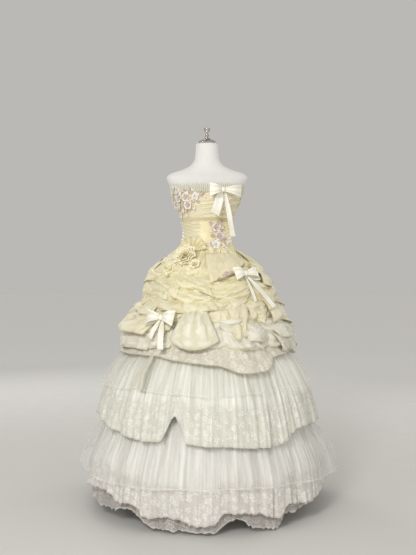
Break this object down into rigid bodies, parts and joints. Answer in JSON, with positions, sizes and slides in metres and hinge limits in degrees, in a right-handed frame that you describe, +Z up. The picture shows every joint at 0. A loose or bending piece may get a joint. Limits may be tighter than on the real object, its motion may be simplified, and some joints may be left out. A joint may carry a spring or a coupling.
{
  "type": "ball gown on dress form",
  "caption": "Strapless ball gown with draped bodice, puffed organza overskirt, gathered tulle tiers, lace bands and satin bows, on a limbless dress form with a round base.",
  "frame": {"origin": "centre of the round base on the floor", "axes": "+Z up, the gown's front faces -Y, +X is to the right as seen from the front"},
  "size_m": [1.133, 1.0932, 1.6596],
  "materials": {
    "form_skin": "smooth white form cover",
    "metal": "polished silver-coloured metal",
    "chiffon": "pale yellow pleated chiffon",
    "satin": "pale yellow satin",
    "bow_satin": "cream satin ribbon with a soft shine",
    "organza": "pale yellow organza",
    "tulle": "ivory gathered tulle",
    "lace": "ivory tulle with fine lace work",
    "frill": "pale sheer gathered net",
    "glitter_net": "grey-mauve net with fine glitter",
    "applique": "white and dusty mauve lace flowers"
  },
  "bodies": {
    "root": {"bodice_front": "chiffon", "waist_front": "satin", "bodice_back_right": "chiffon", "bodice_back_left": "chiffon", "neck_frill": "frill", "foundation_skirt": "satin", "puffs_waist": "organza", "puffs_high_hip": "organza", "puffs_low_hip": "organza", "puffs_thigh": "organza", "peplum": "organza", "front_puff": "organza", "glitter_net": "glitter_net", "lower_tier": "tulle", "lower_tulle": "tulle", "upper_tier": "tulle", "upper_tulle": "tulle", "lace_flounce": "lace", "sheer_strip": "organza", "form_body": "form_skin", "form_neck_cap": "metal", "form_finial": "metal", "form_pole": "metal", "form_base": "metal", "hip_rose": "chiffon", "hip_flower_low": "chiffon", "hip_flower_side": "chiffon", "hip_fan": "organza", "bust_bow_knot": "bow_satin", "bust_bow_left_loop": "bow_satin", "bust_bow_right_loop": "bow_satin", "bust_bow_left_tail": "bow_satin", "bust_bow_right_tail": "bow_satin", "right_hip_bow_knot": "bow_satin", "right_hip_bow_left_loop": "bow_satin", "right_hip_bow_right_loop": "bow_satin", "right_hip_bow_left_tail": "bow_satin", "right_hip_bow_right_tail": "bow_satin", "left_front_bow_knot": "bow_satin", "left_front_bow_left_loop": "bow_satin", "left_front_bow_right_loop": "bow_satin", "left_front_bow_left_tail": "bow_satin", "left_front_bow_right_tail": "bow_satin", "bust_flower_1": "applique", "bust_flower_2": "applique", "bust_flower_3": "applique", "bust_flower_4": "applique", "bust_flower_5": "applique", "waist_flower_1": "applique", "waist_flower_2": "applique", "waist_flower_3": "applique", "back_button_1": "satin", "back_button_2": "satin", "back_button_3": "satin", "back_button_4": "satin", "back_button_5": "satin", "back_button_6": "satin"}
  },
  "joints": []
}
